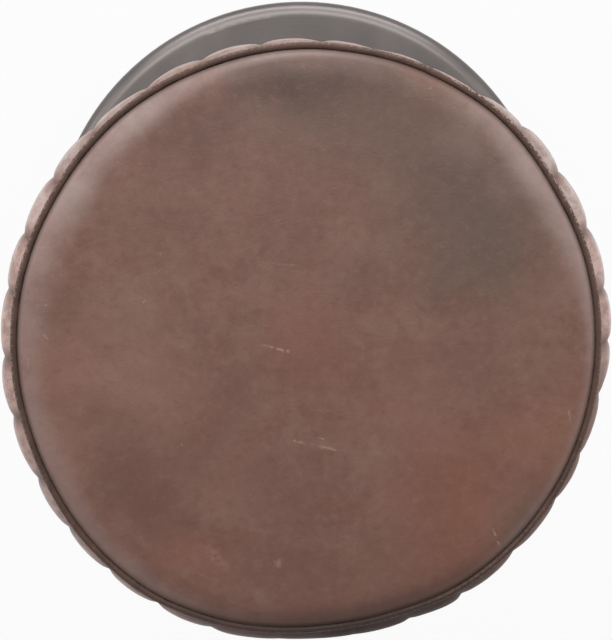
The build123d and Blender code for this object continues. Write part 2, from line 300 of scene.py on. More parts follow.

# Where the band's channels run into each other under the seam, and where the band gets painted
# sheen.
merge_rows = ((0, 0), (248, 0), (258, 0.85), (282, 0.85), (290, 0), (360, 0))
band_sheen_rows = (
    (0, 1), (20, 0.9), (45, 0.62), (58, 0.45), (90, 0.3), (115, 0.3), (135, 0.5), (160, 0.95),
    (212, 1), (224, 0.95), (236, 0.72), (250, 0.35), (262, 0), (305, 0), (335, 0), (350, 0.1),
    (360, 1),
)


def seam_pull(angles):
    """How far the seam stands out from its circle at each angle, in metres."""
    return round_table(angles, seam_pull_rows) / 1000


# Seat panel: a wide crown that turns down in a plump shoulder to the piping

shoulder_at = 0.90
shoulder_up = 0.62
panel_rise = 0.0035


def crown_profile(share):
    """Height over the seam at a share of its radius, lowered by what the stuffing will lift."""
    drop = crown_height * (1 - shoulder_up)
    reach = shoulder_at * seam_radius
    wide = (reach ** 2 + drop ** 2) / (2 * drop)
    start = math.asin(reach / wide)
    chord = Vector((seam_radius - reach, -crown_height * shoulder_up))
    turned_by = math.atan2(-chord.y, chord.x) - start
    tight = chord.length / (2 * math.sin(turned_by))
    centre_out = reach - tight * math.sin(start)
    centre_up = crown_height - drop - tight * math.cos(start)
    radius = share * seam_radius
    if radius <= reach:
        height = crown_height - wide + math.sqrt(wide ** 2 - radius ** 2)
    else:
        height = centre_up + math.sqrt(max(tight ** 2 - (radius - centre_out) ** 2, 0))
    return height - panel_rise * (1 - share ** 6)


def make_seat_panel():
    around, rings, crowding = 200, 46, 1.35
    under_shares = (0.3, 0.6, 0.85)
    under_up, tuck_up, lip_up, lip_out = 0.0004, 0.0003, 0.0012, 0.0004
    angles = np.linspace(0, 2 * math.pi, around, endpoint=False)
    pull = seam_pull(angles)
    under = seam_height + under_up
    rows = [level_ring(share * seam_radius, under, angles) for share in under_shares]
    tuck = np.stack([seam_radius + pull, np.full(around, seam_height + tuck_up)], axis=1)
    rows.append(turn(tuck, angles))
    for k in range(rings, 0, -1):
        share = 1 - (1 - k / rings) ** crowding
        at_lip = share ** 12
        height = seam_height + lip_up * at_lip + max(crown_profile(share), 0)
        radius = share * (seam_radius + lip_out * at_lip) + pull * share ** 4
        rows.append(turn(np.stack([radius, np.full(around, height)], axis=1), angles))
    top = seam_height + crown_height - panel_rise
    panel = skin("seat_panel", rows, (0, 0, under), (0, 0, top))
    held_rings = len(under_shares) + 2
    inflate(panel, [*range(held_rings * around), len(rows) * around], panel_rise)
    shade_panel(panel)
    slacken_panel(panel)
    subdivide(panel)
    return panel


def slacken_panel(panel):
    """Broad, shallow unevenness over the crown, and loose hide near the seam."""
    hollows, dimples = 0.0007, 0.0003
    puckers, wrinkles = 0.0005, 0.0002
    still_up, free_up = 0.001, 0.005
    loose_starts, loose_ends = 0.028, 0.004
    points = coordinates(panel)
    radius, angle = around_column(points)
    up = smooth(points[:, 2], seam_height + still_up, seam_height + free_up)
    from_axis = radius - seam_pull(angle)
    edge = smooth(from_axis, seam_radius - loose_starts, seam_radius - loose_ends)
    wound = np.stack([np.cos(angle) * 9, np.sin(angle) * 9, radius * 12], axis=1)
    lift = hollows * ripple(points, 9, 3.1) + dimples * ripple(points, 26, 7.7)
    lift += puckers * edge * ripple(wound, 1.0, 1.7) + wrinkles * edge * ripple(wound, 3.1, 5.2)
    points[:, 2] += lift * up
    set_coordinates(panel, points)


def shade_panel(panel):
    """Painted shade in the tuck by the piping, painted sheen at the edge and painted shade along
    the front edge and its lip.
    """
    tuck_starts, tuck_ends = 0.0025, 0.0002
    lip_starts_mm, lip_ends_mm = 1.5, 4.5
    solid_share = 0.2
    radius, angle = around_column(coordinates(panel))
    pull = seam_pull(angle)
    inside_mm = (seam_radius + pull - radius) * 1000

    def rim(rows):
        """A table's share at the piping, which fades to 0 at its width."""
        width = round_table(angle, rows, 2)
        return round_table(angle, rows) * (1 - smooth(inside_mm, solid_share * width, width))

    at_lip = round_table(angle, lip_shade_rows)
    tucked = smooth(radius - pull, seam_radius - tuck_starts, seam_radius + tuck_ends)
    # Painted shade in the tuck by the piping, less where the lip's shade is painted
    shade(panel, "painted_crease_shade", (1.0 - 0.85 * at_lip) * tucked)
    # Painted sheen at the panel's edge
    shade(panel, "painted_sheen", rim(sheen_rows))
    # Painted shade along the front edge and on the panel's lip by the piping
    lip = at_lip * (1 - smooth(inside_mm, lip_starts_mm, lip_ends_mm))
    shade(panel, "painted_front_shade", np.maximum(rim(front_shade_rows), lip))


# Side band: padded channels between sewn valleys, slack where it was sat on, fuller elsewhere

valley_degrees = (
    9, 21, 33, 44, 55, 66, 77, 87, 99, 111, 123, 136, 148, 160, 171, 184,
    195.5, 208, 219, 230, 241, 252, 265, 279, 290, 301, 314, 327, 337, 349, 359,
)

# How much fuller than the CAD's circle the band is. Degrees, millimetres.
fullness_rows = (
    (0, 3.2), (10, 2.2), (20, 1.6), (42, 1.7), (50, -0.8), (60, -6.6), (75, -7.2), (90, -4.4),
    (105, -3.6), (127, -4.3), (134, -2.2), (150, -0.1), (165, 1.6), (180, 3.2), (190, 4.6),
    (205, 5.2), (220, 7.4), (235, 8.4), (255, 8.6), (270, 4.0), (285, 4.6), (300, 5.0),
    (315, 1.7), (330, 0.2), (350, 0.6), (360, 3.2),
)

# The band's section from the hem up to the seam: the height of each level, how far the sewn
# valleys bulge there and how deep the channels are.
band_levels = (0.0, 0.04, 0.14, 0.45, 0.80, 0.94, 1.0)
valley_bulges = (-0.20, 0.30, 0.74, 1.0, 0.95, 0.62, 0.10)
channel_depths = (0.10, 0.50, 0.86, 1.0, 0.94, 0.56, 0.05)

channel_depth = 0.0037
band_rise = 0.0022
band_height = seam_height - hem_height
one_sided_channel = 24


def through(levels, values, at):
    """A smooth line through the values, by Hermite pieces."""
    levels, values = np.asarray(levels, float), np.asarray(values, float)
    slopes = np.gradient(values, levels)
    at = np.clip(at, levels[0], levels[-1])
    k = np.clip(np.searchsorted(levels, at) - 1, 0, len(levels) - 2)
    width = levels[k + 1] - levels[k]
    t = (at - levels[k]) / width
    return (
        (1 + 2 * t) * (1 - t) ** 2 * values[k]
        + t * (1 - t) ** 2 * width * slopes[k]
        + t * t * (3 - 2 * t) * values[k + 1]
        + t * t * (t - 1) * width * slopes[k + 1]
    )


def channel_steps():
    """The band's angles, with the channel that each is in and the share of the way across it."""
    steps = 14
    valleys = np.radians(valley_degrees)
    ends = [*valleys[1:], valleys[0] + 2 * math.pi]
    angles, shares, channels = [], [], []
    for channel, (start, end) in enumerate(zip(valleys, ends)):
        for k in range(steps):
            share = 0.5 - 0.5 * math.cos(math.pi * k / steps)
            angles.append(start + (end - start) * share)
            shares.append(share)
            channels.append(channel)
    return np.array(angles), np.array(shares), np.array(channels)


def channel_lobes(shares, channels):
    """How far each point stands out of its valleys, from 0 to about 1; no two channels agree."""
    uneven, leaning, one_sided, squareness = 0.16, 0.12, -0.95, 2.1
    plump = 1 + uneven * np.sin(channels * 2.4 + 0.6) * np.cos(channels * 1.1)
    lean = np.where(channels == one_sided_channel, one_sided, leaning * np.sin(channels * 1.7))
    skewed = np.clip(shares + lean * shares * (1 - shares), 0, 1)
    return (1 - np.abs(2 * skewed - 1) ** squareness) * plump


def band_section(angles, lobes, merged, pull):
    """The outside of the band as rings from the hem up to the seam."""
    levels, least_swell = 34, 0.0002
    valley_bulge = crest_radius - channel_depth - welt_ring
    fuller = read_table(np.degrees(angles), fullness_rows) / 1000
    rings = []
    for level in 0.5 - 0.5 * np.cos(np.linspace(0.0, math.pi, levels)):
        along = float(level)
        arch = math.sin(math.pi * along)
        radius = welt_ring + valley_bulge * through(band_levels, valley_bulges, along)
        swell = channel_depth * through(band_levels, channel_depths, along)
        swell -= band_rise * arch ** 0.5
        near_seam = smooth(along, 0.86, 1.0)
        loosen = fuller * math.sin(math.pi * min(max(along, 0.02), 0.98)) ** 0.35
        level_lobes = lobes + (1 - lobes) * merged * smooth(along, 0.35, 0.7)
        at = radius + loosen * (1 - near_seam) + pull * near_seam
        at = at + np.maximum(swell, least_swell) * level_lobes
        height = np.full_like(at, hem_height + band_height * along)
        rings.append(turn(np.stack([at, height], axis=1), angles))
    return rings


def make_side_band():
    hem_turn, hem_flat, hem_fold = 0.0002, 0.015, 0.0012
    tuck_in, tuck_down = 0.0004, 0.0018
    lining_gap, lining_top, lining_bend = 0.0006, 0.003, 0.05
    angles, shares, channels = channel_steps()
    merged = round_table(angles, merge_rows)
    pull = seam_pull(angles)
    rows = [level_ring(hem_radius, hem_height + hem_turn, angles)]
    for reach in (0.35, 0.7):
        rows.append(level_ring(hem_radius + reach * hem_flat, hem_height, angles))
    outside_from = len(rows)
    rows += band_section(angles, channel_lobes(shares, channels), merged, pull)
    outside_to = len(rows)
    tuck = [welt_ring - tuck_in + pull, np.full_like(pull, seam_height - tuck_down)]
    rows[-1] = turn(np.stack(tuck, axis=1), angles)
    for height in (seam_height - lining_top, hem_height + lining_bend, board_bottom):
        rows.append(level_ring(board_radius + lining_gap, height, angles))
    rows.append(level_ring(hem_radius, hem_height + hem_fold, angles))
    band = skin("channelled_band", rows, wrap=True)
    index = np.arange(len(rows) * len(angles)).reshape(len(rows), len(angles))
    free = index[outside_from + 2:outside_to - 2, shares > 0]
    inflate(band, np.setdiff1d(index.ravel(), free.ravel()), band_rise)
    outside = np.zeros(index.size)
    outside[index[outside_from + 1:outside_to - 1].ravel()] = 1
    hem = np.zeros(index.size)
    hem[index[:outside_from].ravel()] = 1
    column = np.tile(np.arange(len(angles)), len(rows))
    from_valley = np.minimum(shares, 1 - shares)[column]
    shade_band(band, outside, from_valley)
    slacken_band(band, outside, hem, from_valley, merged[column])
    subdivide(band)
    return band


def up_the_band(points):
    """The share of the way from the hem to the seam."""
    return np.clip((points[:, 2] - hem_height) / band_height, 0, 1)


def slacken_band(band, outside, hem, from_valley, merged):
    """Uneven stuffing, valleys that their stitches pull in, and puckers at the seam and hem."""
    lumps, dimples, puckers = 0.0006, 0.00035, 0.0005
    stitch_pull, pleats = 0.0009, 0.0004
    points = coordinates(band)
    radius, angle = around_column(points)
    along = up_the_band(points)
    stitched = (1 - smooth(from_valley, 0.0, 0.13)) * (1 - merged)
    body = outside * np.sin(math.pi * along) ** 0.4
    ends = outside * (smooth(along, 0.80, 0.97) + smooth(1 - along, 0.80, 0.97))
    wound = np.stack([np.cos(angle) * 30, np.sin(angle) * 30, points[:, 2] * 9], axis=1)
    move = lumps * body * ripple(points, 16, 2.3) + dimples * body * ripple(points, 42, 4.9)
    move += puckers * ends * ripple(wound, 1.0, 6.1) - stitch_pull * stitched * body
    points[:, 2] -= hem * pleats * np.abs(ripple(wound, 1.6, 8.8))
    points[:, :2] *= (1 + move / radius)[:, None]
    set_coordinates(band, points)


def shade_band(band, outside, from_valley):
    """Painted sheen high up, painted shade in the valleys, darker low down, and painted shade in
    front.
    """
    points = coordinates(band)
    angle = around_column(points)[1]
    along = up_the_band(points)
    # Painted shade in the band's valleys
    shade(band, "painted_crease_shade", 0.75 * (1 - smooth(from_valley, 0.0, 0.06)) * outside)
    # Painted sheen high on the band, most at the sides and back
    painted_band_sheen = round_table(angle, band_sheen_rows) * (0.15 + 0.85 * smooth(along, 0.36, 0.80))
    shade(band, "painted_band_sheen", painted_band_sheen * outside * smooth(from_valley, 0.0, 0.25))
    # Darker low on the band
    shade(band, "low_band_dark", outside * (1 - smooth(along, 0.40, 0.85)))
    # Painted shade on the band at the front
    dark = np.minimum(2.2 * round_table(angle, front_shade_rows), 0.96)
    shade(band, "painted_front_shade", dark * outside * smooth(along, 0.1, 0.6))


# Piping: leather wrapped round a cord, never quite even

def make_welt():
    count, sides = 720, 18
    sideways, up_and_down = 0.00025, 0.0003
    swell, lump = 0.05, 0.02
    line_at, line_width = 100, 14
    specks_at, specks_width = 28, 30
    angles = np.linspace(0, 2 * math.pi, count, endpoint=False)
    circle = np.stack([np.cos(angles), np.sin(angles), 0 * angles], axis=1)
    wander = sideways * ripple(circle * 4, 1.0, 2.2)
    path = circle * (welt_ring + seam_pull(angles) + wander)[:, None]
    path[:, 2] = seam_height + up_and_down * ripple(circle * 7, 1.0, 9.4)
    sizes = 1 + swell * ripple(circle * 14, 1.0, 5.5) + lump * ripple(circle * 60, 1.0, 3.3)

    def radius(share):
        return welt_radius * sizes[int(share * count) % count]

    welt = tube("piping_welt", [path], radius, sides)
    angle = around_column(coordinates(welt))[1]
    # Degrees round the welt's section: 0 is outward, 90 is up and 180 is inward
    turned = np.tile((180 - np.arange(sides) * 360 / sides) % 360 - 180, count)
    on_line = np.exp(-(((turned - line_at) / line_width) ** 2))
    on_specks = np.exp(-(((turned - specks_at) / specks_width) ** 2))
    # Painted shade at the front, a painted highlight line on the inner top, and pale specks
    shade(welt, "painted_front_shade", 2.0 * round_table(angle, front_shade_rows))
    shade(welt, "painted_sheen", round_table(angle, highlight_line_rows) * on_line)
    shade(welt, "specked", round_table(angle, speck_rows) * on_specks)
    return welt


# Dust cover: thin cloth stretched under the board, slack between its staples

staple_count = 28


def make_dust_cloth():
    around, rings = 336, 44
    under_board, sag, scallop = 0.0008, 0.0013, 0.00035
    hem_gap, frayed = 0.0001, 0.004
    sag_starts, lap_starts, lap_ends = 0.03, 0.004, 0.0002
    angles = np.linspace(0, 2 * math.pi, around, endpoint=False)
    rows = []
    for share in np.linspace(0.04, 1, rings):
        radius = share * cover_radius
        points = level_ring(radius, board_bottom, angles)
        from_plate = np.maximum(np.abs(points[:, 0]), np.abs(points[:, 1]))
        clear = smooth(from_plate, plate_half, plate_half + sag_starts)
        lap = smooth(radius, hem_radius - lap_starts, hem_radius - lap_ends)
        slack = 0.5 + 0.5 * ripple(points, 22, 1.2)
        pucker = np.cos(angles * staple_count) * smooth(share, 0.78, 1.0)
        over_hem = lap * (board_bottom - hem_height + hem_gap)
        points[:, 2] -= under_board + clear * (1 - lap) * sag * slack + over_hem
        points[:, 2] -= clear * scallop * (1 - pucker)
        fray = ripple(points, 60, 4.4) * smooth(share, 0.96, 1.0)
        points[:, :2] *= 1 + frayed * fray[:, None]
        rows.append(points)
    return skin("dust_cloth", rows, low_pole=(0, 0, board_bottom - under_board))


def make_staples():
    """Flat wire staples along the cover's edge: a crown with two legs that go up into the wood."""
    half, leg, wire, bend = 0.005, 0.004, 0.0005, 0.0004
    side = (
        (-half, leg), (-half, bend), (-half + bend, 0), (half - bend, 0), (half, bend), (half, leg),
    )
    from_edge, below_hem = 0.0035, 0.0013
    uneven_spacing, uneven_lean = 0.01, 0.35
    points, faces = [], []
    for k in range(staple_count):
        angle = 2 * math.pi * k / staple_count + uneven_spacing * math.sin(5 * k)
        lean = uneven_lean * math.sin(3.7 * k + 1)
        spot = Matrix.Translation((cover_radius - from_edge, 0, hem_height - below_hem))
        place = Matrix.Rotation(angle, 4, "Z") @ spot
        place = place @ Matrix.Rotation(math.pi / 2 + lean, 4, "Z")
        start = len(points)
        for along, up in side:
            inward = math.copysign(wire, along) if abs(along) == half else 0
            for across in (-wire, wire):
                points.append(place @ Vector((along, across, up)))
                points.append(place @ Vector((along - inward, across, up + wire * 1.2)))
        for a in range(start, start + 4 * (len(side) - 1), 4):
            for this, following in ((0, 2), (2, 3), (3, 1), (1, 0)):
                faces.append((a + this, a + following, a + 4 + following, a + 4 + this))
    return mesh_object("dust_cloth_staples", points, faces)


# Weld beads where the footrest's spokes meet its hub and its ring

def make_weld_beads():
    spokes, steps, sides = 4, 120, 10
    bead, swell, swells = 0.0017, 0.00028, 26
    hub_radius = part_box("footrest_hub")[1].x
    ring_low, ring_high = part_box("footrest_ring")
    spoke_low, spoke_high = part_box("footrest_spokes")
    bar = (ring_high.z - ring_low.z) / 2
    ring_radius = ring_high.x - bar
    level = (ring_high.z + ring_low.z) / 2
    spoke = (spoke_high.z - spoke_low.z) / 2
    paths = []
    for k in range(spokes):
        turned = Matrix.Rotation(k * 2 * math.pi / spokes, 3, "Z")
        at_hub, at_ring = [], []
        for angle in np.linspace(0, 2 * math.pi, steps, endpoint=False):
            side, up = spoke * math.cos(angle), spoke * math.sin(angle)
            inner = math.sqrt(hub_radius ** 2 - side ** 2)
            outer = math.sqrt((ring_radius - math.sqrt(bar ** 2 - up ** 2)) ** 2 - side ** 2)
            at_hub.append(turned @ Vector((inner, side, level + up)))
            at_ring.append(turned @ Vector((outer, side, level + up)))
        paths += [at_hub, at_ring]

    def radius(share):
        return bead + swell * math.sin(share * 2 * math.pi * swells)

    return tube("footrest_weld_beads", paths, radius, sides)


# Materials

class Paint:
    """A procedural material on a Principled shader, drawn in the piece's own coordinates."""

    def __init__(self, name, **sockets):
        self.material = bpy.data.materials.new(name)
        self.material.use_nodes = True
        self.tree = self.material.node_tree
        self.shader = self.tree.nodes["Principled BSDF"]
        self.place = self.add("TexCoord").outputs["Object"]
        self.set(**sockets)

    def set(self, **sockets):
        """Sets the shader's sockets to constants or patterns, and gives the material back."""
        for key, value in sockets.items():
            self.put(self.shader.inputs[key.replace("_", " ")], value)
        return self.material

    def put(self, socket, value):
        if isinstance(value, bpy.types.NodeSocket):
            self.tree.links.new(value, socket)
        elif socket.type == "RGBA" and len(value) == 3:
            socket.default_value = (*value, 1)
        else:
            socket.default_value = value

    def add(self, kind, inputs=(), **settings):
        made = self.tree.nodes.new("ShaderNode" + kind)
        for key, value in settings.items():
            setattr(made, key, value)
        for key, value in dict(inputs).items():
            self.put(made.inputs[key], value)
        return made

    def vector(self, operation, first, second):
        """A vector worked out from a first one and a second one, or from a scale."""
        key = "Scale" if operation == "SCALE" else 1
        return self.add("VectorMath", {0: first, key: second}, operation=operation).outputs[0]

    def distance(self, first, second):
        inputs = {0: first, 1: second}
        return self.add("VectorMath", inputs, operation="DISTANCE").outputs["Value"]

    def moved(self, shift, reach):
        """The piece's coordinates, moved along a shift."""
        return self.vector("ADD", self.place, self.vector("SCALE", shift, reach))

    def stretched(self, x, y, z):
        return self.add("Mapping", {"Vector": self.place, "Scale": (x, y, z)}).outputs["Vector"]

    def attribute(self, name):
        return self.add("Attribute", attribute_name=name).outputs["Fac"]

    def noise(self, scale, detail=4.0, rough=0.55, place=None, distort=0.0):
        inputs = {
            "Vector": place or self.place, "Scale": scale, "Detail": detail, "Roughness": rough,
            "Distortion": distort,
        }
        return self.add("TexNoise", inputs).outputs["Fac"]

    def cells(self, scale, feature="F1", place=None):
        inputs = {"Vector": place or self.place, "Scale": scale}
        return self.add("TexVoronoi", inputs, feature=feature).outputs["Distance"]

    def ramp(self, value, low, high, to_low=0.0, to_high=1.0):
        inputs = {
            "Value": value, "From Min": low, "From Max": high, "To Min": to_low, "To Max": to_high,
        }
        return self.add("MapRange", inputs, interpolation_type="SMOOTHSTEP").outputs["Result"]

    def calc(self, operation, a, b=0.0):
        return self.add("Math", {0: a, 1: b}, operation=operation).outputs[0]

    def times(self, a, b):
        return self.calc("MULTIPLY", a, b)

    def mix(self, share, a, b):
        made = self.add("Mix", data_type="RGBA", blend_type="MIX")
        for socket, value in ((0, share), (6, a), (7, b)):
            self.put(made.inputs[socket], value)
        return made.outputs[2]

    def tint(self, colour, toward, pattern, low, high, share):
        """The colour, moved towards another by a share where a pattern runs from low to high."""
        return self.mix(self.times(self.ramp(pattern, low, high), share), colour, toward)

    def spot(self, centre, radius, place):
        """1 at a point of the piece, fading to 0 at a radius in metres."""
        return self.ramp(self.distance(place, centre), radius, 0.0)

    def line(self, start, end, width, place):
        """1 along a fine line in plan between two points, 0 beside it."""
        run = Vector((end[0] - start[0], end[1] - start[1], 0))
        unit = tuple(run.normalized())
        flat = self.vector("MULTIPLY", place, (1, 1, 0))
        from_start = self.vector("SUBTRACT", flat, (*start, 0))
        made = self.add("VectorMath", {0: from_start, 1: unit}, operation="DOT_PRODUCT")
        inputs = {"Value": made.outputs["Value"], "Min": 0.0, "Max": run.length}
        kept = self.add("Clamp", inputs).outputs[0]
        foot = self.vector("SCALE", unit, kept)
        return self.ramp(self.distance(from_start, foot), width, 0.0)

    def bump(self, height, distance, strength=1.0, normal=None):
        inputs = {"Height": height, "Distance": distance, "Strength": strength}
        if normal is not None:
            inputs["Normal"] = normal
        return self.add("Bump", inputs).outputs["Normal"]


def srgb(red, green, blue):
    """A colour given in screen values from 0 to 255."""
    return tuple(
        c / 255 / 12.92 if c <= 10 else ((c / 255 + 0.055) / 1.055) ** 2.4
        for c in (red, green, blue)
    )


# The top's stains and faded places, and some patches of painted shade and painted sheen: centre in
# plan, radius, colour on screen, share
patches = (
    ((0.104, 0.110), 0.085, (88, 72, 63), 0.85),
    ((0.128, 0.062), 0.075, (88, 73, 63), 0.80),
    ((0.060, 0.132), 0.080, (98, 78, 68), 0.65),
    ((0.000, 0.158), 0.080, (102, 81, 72), 0.70),
    ((-0.068, 0.144), 0.050, (92, 68, 60), 0.70),
    ((0.040, 0.170), 0.045, (88, 70, 62), 0.50),
    # Painted shade on the back edge, where the shoulder would otherwise catch the light
    ((-0.012, 0.180), 0.050, (84, 65, 57), 0.70),
    ((0.048, 0.170), 0.024, (76, 57, 49), 0.50),
    ((0.018, 0.176), 0.026, (72, 54, 46), 0.60),
    ((-0.012, 0.176), 0.026, (72, 54, 46), 0.60),
    ((-0.040, 0.171), 0.024, (78, 58, 50), 0.50),
    ((-0.020, 0.085), 0.065, (110, 79, 69), 0.55),
    # Painted sheen on the edge at the back right
    ((0.106, 0.140), 0.040, (136, 115, 105), 0.50),
    ((0.144, 0.106), 0.034, (140, 121, 114), 0.50),
    ((0.174, 0.045), 0.034, (140, 113, 105), 0.50),
    # Stains and faded places
    ((-0.100, 0.084), 0.070, (108, 77, 66), 0.60),
    ((-0.045, -0.150), 0.032, (104, 70, 60), 0.45),
    ((-0.156, 0.020), 0.030, (104, 74, 62), 0.65),
    ((-0.120, 0.016), 0.045, (132, 99, 88), 0.50),
    ((-0.155, -0.022), 0.040, (138, 98, 86), 0.50),
    ((-0.108, -0.036), 0.064, (140, 104, 93), 0.55),
    ((-0.115, -0.096), 0.070, (98, 66, 55), 0.75),
    ((-0.090, -0.128), 0.045, (100, 67, 55), 0.60),
    ((-0.044, -0.101), 0.034, (126, 92, 81), 0.50),
    ((-0.062, -0.062), 0.060, (108, 74, 63), 0.50),
    ((0.003, 0.000), 0.045, (122, 80, 69), 0.60),
    ((0.038, 0.050), 0.040, (98, 73, 64), 0.60),
    ((0.062, -0.045), 0.065, (130, 93, 82), 0.60),
    ((0.088, -0.064), 0.034, (132, 96, 84), 0.50),
    ((0.105, -0.015), 0.036, (108, 78, 68), 0.50),
    ((0.145, 0.005), 0.045, (118, 87, 76), 0.45),
    ((0.115, -0.062), 0.034, (118, 84, 67), 0.60),
    ((0.155, -0.060), 0.042, (138, 92, 73), 0.60),
    ((0.180, -0.030), 0.030, (122, 82, 66), 0.55),
    ((0.100, -0.110), 0.080, (124, 77, 60), 0.70),
    ((0.084, -0.146), 0.045, (112, 72, 58), 0.50),
    ((0.150, -0.120), 0.040, (96, 78, 67), 0.55),
    ((-0.075, -0.156), 0.038, (130, 84, 69), 0.60),
    ((-0.178, -0.075), 0.048, (140, 103, 92), 0.60),
    ((-0.140, -0.140), 0.050, (128, 91, 80), 0.50),
    ((-0.018, -0.103), 0.040, (104, 72, 62), 0.50),
    # The front edge darker: partly stain, partly painted shade
    ((0.000, -0.168), 0.048, (102, 68, 56), 0.65),
    ((0.050, -0.158), 0.045, (106, 72, 60), 0.60),
)

# The top's scratches and scuffs: start and end in plan, width, share
scratches = (
    ((-0.0338, -0.0023), (-0.0205, -0.0048), 0.0011, 0.3),
    ((-0.0225, -0.0045), (-0.0119, -0.0070), 0.0015, 0.6),
    ((-0.0073, -0.0666), (0.0110, -0.0712), 0.0013, 0.45),
    ((0.0100, -0.0700), (0.0192, -0.0726), 0.0015, 0.5),
    ((0.0086, -0.0640), (0.0119, -0.0650), 0.0008, 0.6),
    ((0.1240, -0.1263), (0.1267, -0.1343), 0.0011, 0.75),
    ((0.1262, -0.1345), (0.1290, -0.1376), 0.0010, 0.6),
    ((0.1736, -0.0468), (0.1748, -0.0560), 0.0010, 0.45),
    ((-0.1770, 0.0232), (-0.1690, 0.0236), 0.0010, 0.5),
    ((-0.1744, 0.0050), (-0.1700, 0.0003), 0.0009, 0.5),
    ((-0.1840, -0.0123), (-0.1836, -0.0190), 0.0009, 0.35),
    ((-0.1080, 0.0249), (-0.1068, 0.0262), 0.0010, 0.4),
    ((0.0805, 0.1655), (0.0813, 0.1668), 0.0012, 0.5),
    ((-0.0995, 0.0474), (-0.0988, 0.0480), 0.0013, 0.4),
    ((-0.0970, 0.0567), (-0.0962, 0.0563), 0.0012, 0.35),
    ((-0.0643, -0.0408), (-0.0637, -0.0414), 0.0013, 0.4),
    ((-0.0835, -0.0680), (-0.0828, -0.0688), 0.0013, 0.35),
    ((-0.1267, -0.0792), (-0.1260, -0.0797), 0.0013, 0.4),
    ((-0.0186, 0.0510), (-0.0080, 0.0500), 0.0009, 0.3),
    ((-0.0648, -0.1371), (-0.0568, -0.1500), 0.0065, 0.16),
    ((-0.0610, -0.1465), (-0.0585, -0.1480), 0.0038, 0.30),
    ((-0.0202, -0.1462), (-0.0192, -0.1495), 0.0040, 0.36),
)


def hide_colour(p, loose, mottle):
    """The hide's colour: clouds, mottle, dapple, blots, stains and fine flecks, and some patches of
    painted shade and painted sheen.
    """
    clouds = p.noise(9.0, 5.0, 0.6, loose)
    dapple = p.noise(85.0, 3.0, 0.6)
    blots = p.noise(38.0, 3.0, 0.5, loose)
    flecks = p.noise(170.0, 5.0, 0.7)
    colour = p.mix(p.ramp(clouds, 0.36, 0.64), srgb(112, 79, 68), srgb(122, 88, 77))
    colour = p.tint(colour, srgb(126, 97, 86), mottle, 0.50, 0.64, 0.50)
    colour = p.tint(colour, srgb(107, 69, 58), mottle, 0.48, 0.34, 0.55)
    colour = p.tint(colour, srgb(132, 100, 88), dapple, 0.50, 0.66, 0.22)
    colour = p.tint(colour, srgb(100, 68, 58), dapple, 0.50, 0.34, 0.22)
    colour = p.tint(colour, srgb(98, 69, 58), blots, 0.50, 0.72, 0.32)
    for (x, y), radius, tint, share in patches:
        patch = p.spot((x, y, seam_height + crown_height), radius, loose)
        colour = p.mix(p.times(patch, share), colour, srgb(*tint))
    colour = p.tint(colour, srgb(142, 108, 96), flecks, 0.50, 0.74, 0.20)
    return p.tint(colour, srgb(86, 58, 49), flecks, 0.48, 0.28, 0.26)


def sheen_and_low_dark_colour(p, colour, mottle):
    """The colour with painted sheen at the panel's edge and high on the band, and darker low on the
    band, where the piece's points say so.
    """
    lumpy = p.ramp(mottle, 0.30, 0.70, 0.75, 1.25)
    # Painted sheen at the panel's edge, paler than the hide
    colour = p.mix(p.times(p.attribute("painted_sheen"), lumpy), colour, srgb(171, 152, 147))
    # Darker low on the band
    low_band_dark = p.times(p.times(p.attribute("low_band_dark"), lumpy), 0.45)
    colour = p.mix(low_band_dark, colour, srgb(84, 53, 43))
    # Painted sheen high on the band, broken up by noise and whiter towards the back
    scuffs = p.ramp(p.noise(120.0, 5.0, 0.7, p.stretched(1.0, 1.0, 0.5)), 0.36, 0.62, 0.45, 1.15)
    painted_band_sheen = p.times(p.times(p.attribute("painted_band_sheen"), scuffs), 0.80)
    toward_back = p.ramp(p.add("SeparateXYZ", {0: p.place}).outputs[1], 0.05, 0.12)
    return p.mix(painted_band_sheen, colour, p.mix(toward_back, srgb(194, 163, 154), srgb(184, 170, 166)))


def scratch_marks(p, shift):
    """The scratches and scuffs, drawn by an unsteady hand and broken by the grain."""
    hand = p.moved(shift, 0.006)
    marks = 0.0
    for start, end, width, share in scratches:
        mark = p.times(p.line(start, end, width, hand), share)
        marks = p.calc("MAXIMUM", marks, mark)
    return p.times(marks, p.ramp(p.noise(260.0, 2.0), 0.40, 0.58))


def hide_relief(p, loose, mottle):
    """Creases, soft lumps, grain and pores."""
    grain = p.cells(620.0)
    pores = p.noise(1500.0, 2.0, 0.6)
    creases = p.cells(75.0, "DISTANCE_TO_EDGE", loose)
    height = p.calc("ADD", p.times(grain, 0.7), p.times(pores, 0.3))
    normal = p.bump(p.ramp(creases, 0.0, 0.05), 0.00025, 0.16)
    normal = p.bump(mottle, 0.0012, 0.25, normal)
    return p.bump(height, 0.00022, 0.55, normal)


def brown_leather():
    p = Paint("brown_leather", Specular_IOR_Level=0.4, Sheen_Weight=0.18, Sheen_Roughness=0.35)
    # Coordinates that wander by centimetres, so that no stain is round
    wander = p.add("TexNoise", {"Vector": p.place, "Scale": 14.0, "Detail": 3.0})
    shift = p.vector("SUBTRACT", wander.outputs["Color"], (0.5, 0.5, 0.5))
    loose = p.moved(shift, 0.07)
    mottle = p.noise(34.0, 6.0, 0.65, loose)
    painted_front_shade = p.attribute("painted_front_shade")
    scuffed = scratch_marks(p, shift)
    colour = sheen_and_low_dark_colour(p, hide_colour(p, loose, mottle), mottle)
    # Painted shade along the front edge, on the lip by the piping and on the band
    colour = p.mix(painted_front_shade, colour, srgb(54, 35, 30))
    colour = p.mix(scuffed, colour, srgb(176, 143, 130))
    # Painted shade in the tuck by the piping and in the band's valleys
    colour = p.mix(p.times(p.attribute("painted_crease_shade"), 0.75), colour, srgb(74, 55, 49))
    dull = p.times(p.calc("MAXIMUM", scuffed, painted_front_shade), 0.3)
    rough = p.calc("ADD", p.ramp(mottle, 0.35, 0.65, 0.44, 0.56), dull)
    return p.set(Base_Color=colour, Roughness=rough, Normal=hide_relief(p, loose, mottle))


